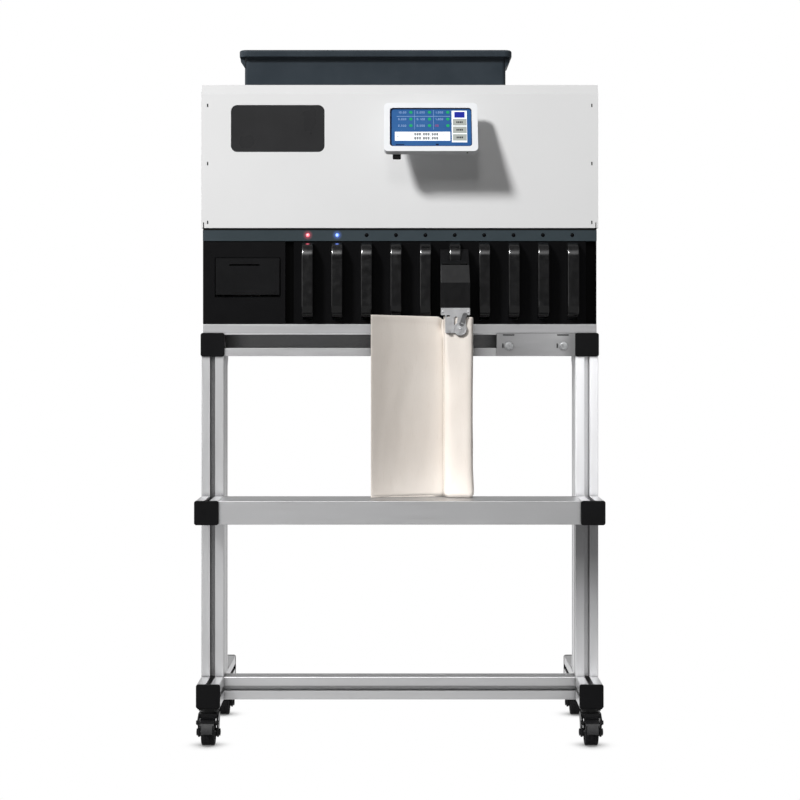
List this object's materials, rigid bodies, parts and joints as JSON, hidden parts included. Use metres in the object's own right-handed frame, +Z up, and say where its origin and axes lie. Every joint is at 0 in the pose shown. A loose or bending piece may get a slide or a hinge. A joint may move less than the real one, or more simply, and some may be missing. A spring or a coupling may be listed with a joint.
{
  "type": "coin counting and sorting machine",
  "caption": "Floor-standing coin sorter on a castor cart: hopper, touch display, receipt printer, row of outlet spouts and a hanging coin bag.",
  "frame": {"origin": "on the floor, at the centre of the footprint's bounding box", "axes": "+Z up, the outlets and display face -Y, +X to the right seen from the front"},
  "size_m": [0.7848, 0.448, 1.365],
  "materials": {
    "aluminium": "satin anodised",
    "cap_plastic": "fine textured black",
    "cast_bracket": "die cast",
    "bolt_steel": "zinc plated",
    "castor_metal": "black e-coat",
    "castor_tyre": "matte",
    "pedal_plastic": "moulded nylon",
    "black_sheet": "fine black powder coat",
    "spout_plastic": "satin black moulding",
    "lamp_bar_paint": "satin slate",
    "lamp_lens": "clear lens over a dark chip",
    "cover_paint": "white powder coat",
    "smoked_window": "smoked acrylic",
    "clip_plastic": "black moulding",
    "switch_plastic": "black rocker",
    "hopper_plastic": "slate moulding",
    "plated_steel": "zinc plated",
    "motor_case": "black enamel",
    "belt_rubber": "ribbed",
    "duct_plastic": "grey moulding",
    "supply_case": "perforated case",
    "circuit_board": "green solder mask",
    "printer_plastic": "textured black",
    "platen_rubber": "ground smooth",
    "receipt_paper": "thermal paper",
    "display_plastic": "satin white moulding",
    "display_glass": "touch panel over a lit screen",
    "chute_plastic": "textured black",
    "bag_fabric": "coated cream cloth"
  },
  "bodies": {
    "cart": {"foot_beams": "aluminium", "upright_left": "aluminium", "upright_right": "aluminium", "lower_cross_rail": "aluminium", "shelf_arms": "aluminium", "bag_shelf": "aluminium", "top_beams": "aluminium", "front_top_rail": "aluminium", "rear_top_rail": "aluminium", "end_caps": "cap_plastic", "corner_brackets": "cast_bracket", "frame_bolts": "bolt_steel", "adjuster_plate": "aluminium", "deck_plate": "aluminium", "caster_plates": "castor_metal", "base_tray": "black_sheet", "side_panels": "black_sheet", "outlet_panel": "black_sheet", "outlet_spouts": "spout_plastic", "lamp_bar": "lamp_bar_paint", "lamps": "lamp_lens", "front_cover": "cover_paint", "rear_cover": "cover_paint", "power_inlet": "clip_plastic", "window_pane": "smoked_window", "cover_clips": "clip_plastic", "hopper_bin": "hopper_plastic", "disc_bed": "plated_steel", "feed_motor": "motor_case", "drive_belt": "belt_rubber", "sort_rail": "plated_steel", "drop_chutes": "duct_plastic", "power_supply": "supply_case", "control_board": "circuit_board", "printer_panel": "black_sheet", "printer_body": "printer_plastic", "display_bracket": "cover_paint"},
    "caster_front_left": {"caster_fork_front_left": "castor_metal"},
    "wheel_front_left": {"caster_wheel_front_left": "castor_tyre"},
    "brake_left": {"brake_pedal_left": "pedal_plastic"},
    "caster_front_right": {"caster_fork_front_right": "castor_metal"},
    "wheel_front_right": {"caster_wheel_front_right": "castor_tyre"},
    "brake_right": {"brake_pedal_right": "pedal_plastic"},
    "caster_rear_left": {"caster_fork_rear_left": "castor_metal"},
    "wheel_rear_left": {"caster_wheel_rear_left": "castor_tyre"},
    "caster_rear_right": {"caster_fork_rear_right": "castor_metal"},
    "wheel_rear_right": {"caster_wheel_rear_right": "castor_tyre"},
    "display": {"display_housing": "display_plastic", "display_screen": "display_glass"},
    "printer_door": {"printer_door": "printer_plastic"},
    "platen": {"platen_roller": "platen_rubber"},
    "feed_button": {"feed_button": "printer_plastic"},
    "paper_roll": {"paper_roll": "receipt_paper"},
    "power_switch": {"power_switch": "switch_plastic"},
    "sorting_disc": {"feed_disc": "plated_steel", "disc_shaft": "plated_steel"},
    "motor_pulley": {"motor_pulley": "plated_steel"},
    "bag_holder": {"bag_chute": "chute_plastic", "bag": "bag_fabric"},
    "clamp_lever": {"clamp_lever": "plated_steel"}
  },
  "joints": [
    {"name": "swivel_front_left", "type": "hinge", "parent": "cart", "child": "caster_front_left", "pos_m": [-0.369, -0.153, 0.06], "axis": [0, 0, 1], "continuous": true},
    {"name": "spin_front_left", "type": "hinge", "parent": "caster_front_left", "child": "wheel_front_left", "pos_m": [-0.369, -0.173, 0.025], "axis": [1, 0, 0], "continuous": true},
    {"name": "brake_left_press", "type": "hinge", "parent": "caster_front_left", "child": "brake_left", "pos_m": [-0.369, -0.194, 0.047], "axis": [1, 0, 0], "range_deg": [0, 18]},
    {"name": "swivel_front_right", "type": "hinge", "parent": "cart", "child": "caster_front_right", "pos_m": [0.369, -0.153, 0.06], "axis": [0, 0, 1], "continuous": true},
    {"name": "spin_front_right", "type": "hinge", "parent": "caster_front_right", "child": "wheel_front_right", "pos_m": [0.369, -0.173, 0.025], "axis": [1, 0, 0], "continuous": true},
    {"name": "brake_right_press", "type": "hinge", "parent": "caster_front_right", "child": "brake_right", "pos_m": [0.369, -0.194, 0.047], "axis": [1, 0, 0], "range_deg": [0, 18]},
    {"name": "swivel_rear_left", "type": "hinge", "parent": "cart", "child": "caster_rear_left", "pos_m": [-0.369, 0.145, 0.06], "axis": [0, 0, 1], "continuous": true},
    {"name": "spin_rear_left", "type": "hinge", "parent": "caster_rear_left", "child": "wheel_rear_left", "pos_m": [-0.369, 0.165, 0.025], "axis": [1, 0, 0], "continuous": true},
    {"name": "swivel_rear_right", "type": "hinge", "parent": "cart", "child": "caster_rear_right", "pos_m": [0.369, 0.145, 0.06], "axis": [0, 0, 1], "continuous": true},
    {"name": "spin_rear_right", "type": "hinge", "parent": "caster_rear_right", "child": "wheel_rear_right", "pos_m": [0.369, 0.165, 0.025], "axis": [1, 0, 0], "continuous": true},
    {"name": "display_tilt", "type": "hinge", "parent": "cart", "child": "display", "pos_m": [0.0603, -0.126, 1.179], "axis": [1, 0, 0], "range_deg": [-15, 28]},
    {"name": "printer_door_open", "type": "hinge", "parent": "cart", "child": "printer_door", "pos_m": [-0.3, -0.086, 0.873], "axis": [1, 0, 0], "range_deg": [0, 90]},
    {"name": "platen_spin", "type": "hinge", "parent": "printer_door", "child": "platen", "pos_m": [-0.306, -0.079, 0.9246], "axis": [1, 0, 0], "continuous": true},
    {"name": "feed_button_press", "type": "slide", "parent": "printer_door", "child": "feed_button", "axis": [0, 1, 0], "range_m": [0, 0.0007], "stiffness_N_per_m": 300, "springref_m": -0.0005},
    {"name": "paper_roll_spin", "type": "hinge", "parent": "cart", "child": "paper_roll", "pos_m": [-0.306, -0.046, 0.8923], "axis": [1, 0, 0], "continuous": true},
    {"name": "power_switch_rock", "type": "hinge", "parent": "cart", "child": "power_switch", "pos_m": [-0.3, 0.217, 0.9], "axis": [1, 0, 0], "range_deg": [0, 16]},
    {"name": "disc_spin", "type": "hinge", "parent": "cart", "child": "sorting_disc", "pos_m": [-0.23, 0.092, 1.206], "axis": [0, 0, 1], "continuous": true},
    {"name": "motor_spin", "type": "hinge", "parent": "cart", "child": "motor_pulley", "pos_m": [-0.095, 0.092, 1.108], "axis": [0, 0, 1], "continuous": true},
    {"name": "bag_holder_pull", "type": "slide", "parent": "cart", "child": "bag_holder", "axis": [0, -1, 0], "range_m": [0, 0.06]},
    {"name": "clamp_lever_turn", "type": "hinge", "parent": "bag_holder", "child": "clamp_lever", "pos_m": [0.1174, -0.1415, 0.803], "axis": [0, 1, 0], "range_deg": [0, 95]}
  ],
  "couplings": [
    {"joint": "motor_spin", "follows": "disc_spin", "ratio": 2.6667}
  ]
}
